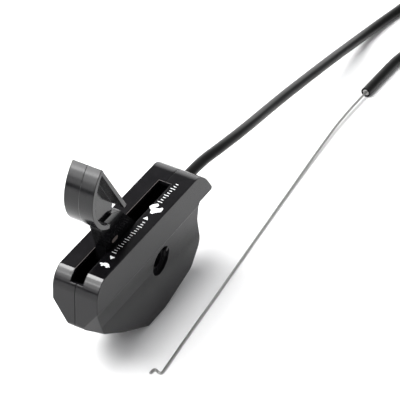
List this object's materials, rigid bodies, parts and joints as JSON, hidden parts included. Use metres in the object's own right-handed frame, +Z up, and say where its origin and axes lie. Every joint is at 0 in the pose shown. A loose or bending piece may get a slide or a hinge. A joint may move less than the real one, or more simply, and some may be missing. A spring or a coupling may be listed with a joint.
{
  "type": "lever throttle control",
  "caption": "Thumb-lever throttle control for a garden machine: a black clamshell box with an upright lever, and a jacketed Bowden cable whose bare wire ends in a Z-bend.",
  "frame": {"origin": "on the floor under the middle of the housing and lever, without the loose cable", "axes": "+X along the housing towards the cable exit, +Y to the mounting side, +Z up"},
  "size_m": [0.4503, 0.0828, 0.1264],
  "materials": {
    "housing_plastic": "fine moulded grain, satin black",
    "lever_plastic": "semi-gloss black",
    "washer_plastic": "natural nylon",
    "zinc_steel": "bright zinc plating",
    "spring_steel": "tempered strip",
    "spiral_steel": "drawn flat wire",
    "wire_steel": "drawn wire",
    "conduit_jacket": "extruded, satin black",
    "tie_plastic": "moulded"
  },
  "bodies": {
    "housing": {"housing_right": "housing_plastic", "housing_left": "housing_plastic", "housing_screws": "zinc_steel", "pivot_bushing": "zinc_steel", "thrust_washer": "washer_plastic", "friction_washer": "spring_steel", "detent_spring": "spring_steel", "conduit_collar": "zinc_steel", "conduit_stub_jacket": "conduit_jacket", "conduit_stub_spiral": "spiral_steel", "conduit_run": "conduit_jacket", "conduit_coil": "conduit_jacket", "coil_ties": "tie_plastic", "conduit_return": "conduit_jacket", "conduit_tip_jacket": "conduit_jacket", "conduit_tip_spiral": "spiral_steel"},
    "lever": {"thumb_lever": "lever_plastic"},
    "wire_near": {"wire_lever_end": "wire_steel"},
    "wire_far": {"wire_core": "wire_steel", "wire_bare": "wire_steel", "wire_z_bend": "wire_steel"}
  },
  "joints": [
    {"name": "lever_pivot", "type": "hinge", "parent": "housing", "child": "lever", "pos_m": [0.0065, 0, 0.0365], "axis": [0, 1, 0], "range_deg": [-18, 55]},
    {"name": "wire_near_slide", "type": "slide", "parent": "housing", "child": "wire_near", "axis": [1, 0, 0], "range_m": [-0.0061, 0.0184]},
    {"name": "wire_far_slide", "type": "slide", "parent": "housing", "child": "wire_far", "axis": [-0.9995, 0.0309, 0], "range_m": [-0.0061, 0.0184]}
  ],
  "couplings": [
    {"joint": "wire_near_slide", "follows": "lever_pivot", "m_per_rad": 0.019},
    {"joint": "wire_far_slide", "follows": "lever_pivot", "m_per_rad": 0.019}
  ]
}
